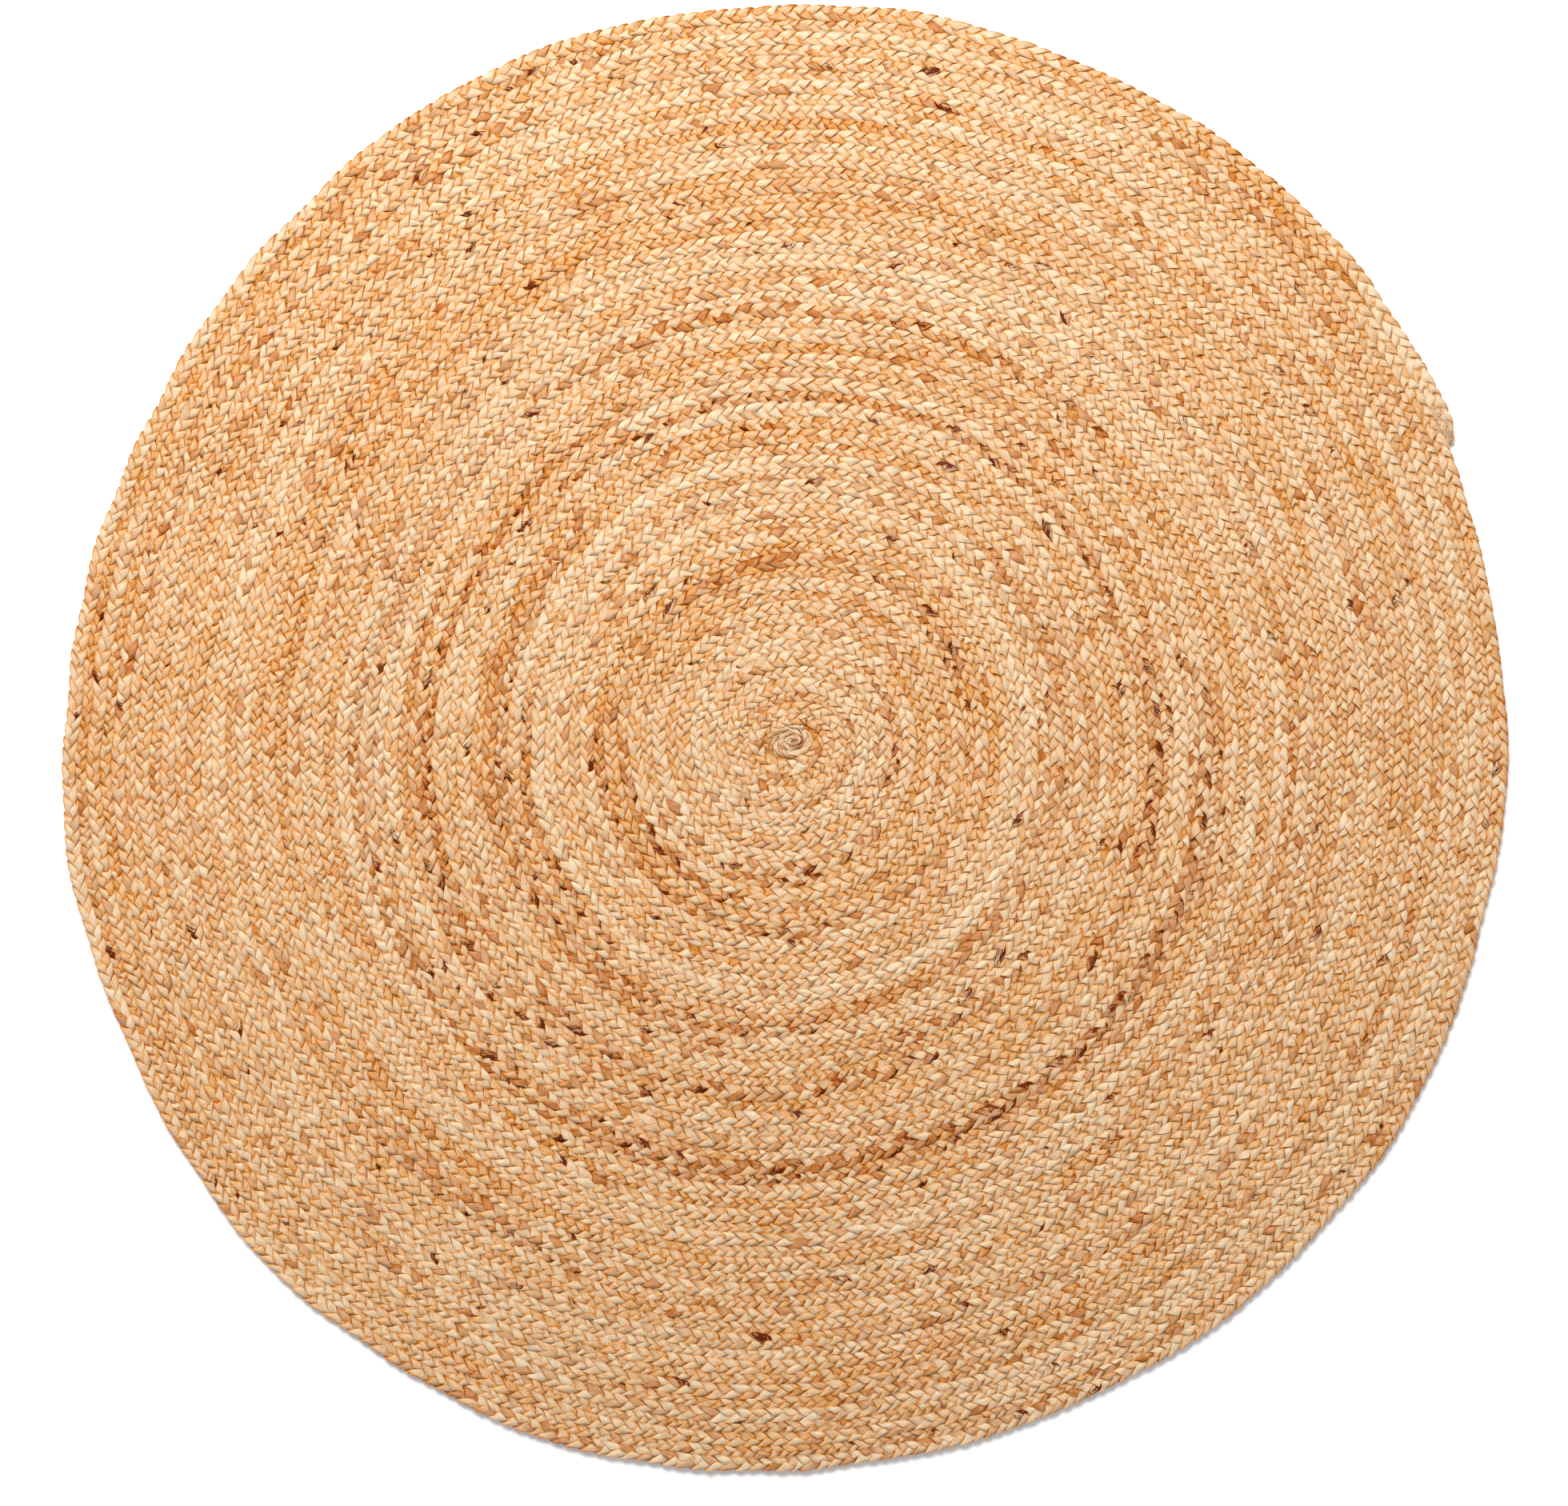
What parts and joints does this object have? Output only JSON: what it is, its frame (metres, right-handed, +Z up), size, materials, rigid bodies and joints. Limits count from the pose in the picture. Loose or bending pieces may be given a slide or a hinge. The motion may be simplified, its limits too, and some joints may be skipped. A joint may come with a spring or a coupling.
{
  "type": "round jute rug",
  "caption": "Round flat rug of two plaited jute braids wound side by side into one coil and sewn edge to edge.",
  "frame": {"origin": "on the floor under the middle of the rug's box", "axes": "+Z up out of the rug's face, +X to the right and +Y away in the view from above"},
  "size_m": [1.4828, 1.5088, 0.009],
  "materials": {
    "jute": "natural undyed jute, plaited, matt, straw to tan with brown flecks"
  },
  "bodies": {
    "root": {"rug": "jute"}
  },
  "joints": []
}
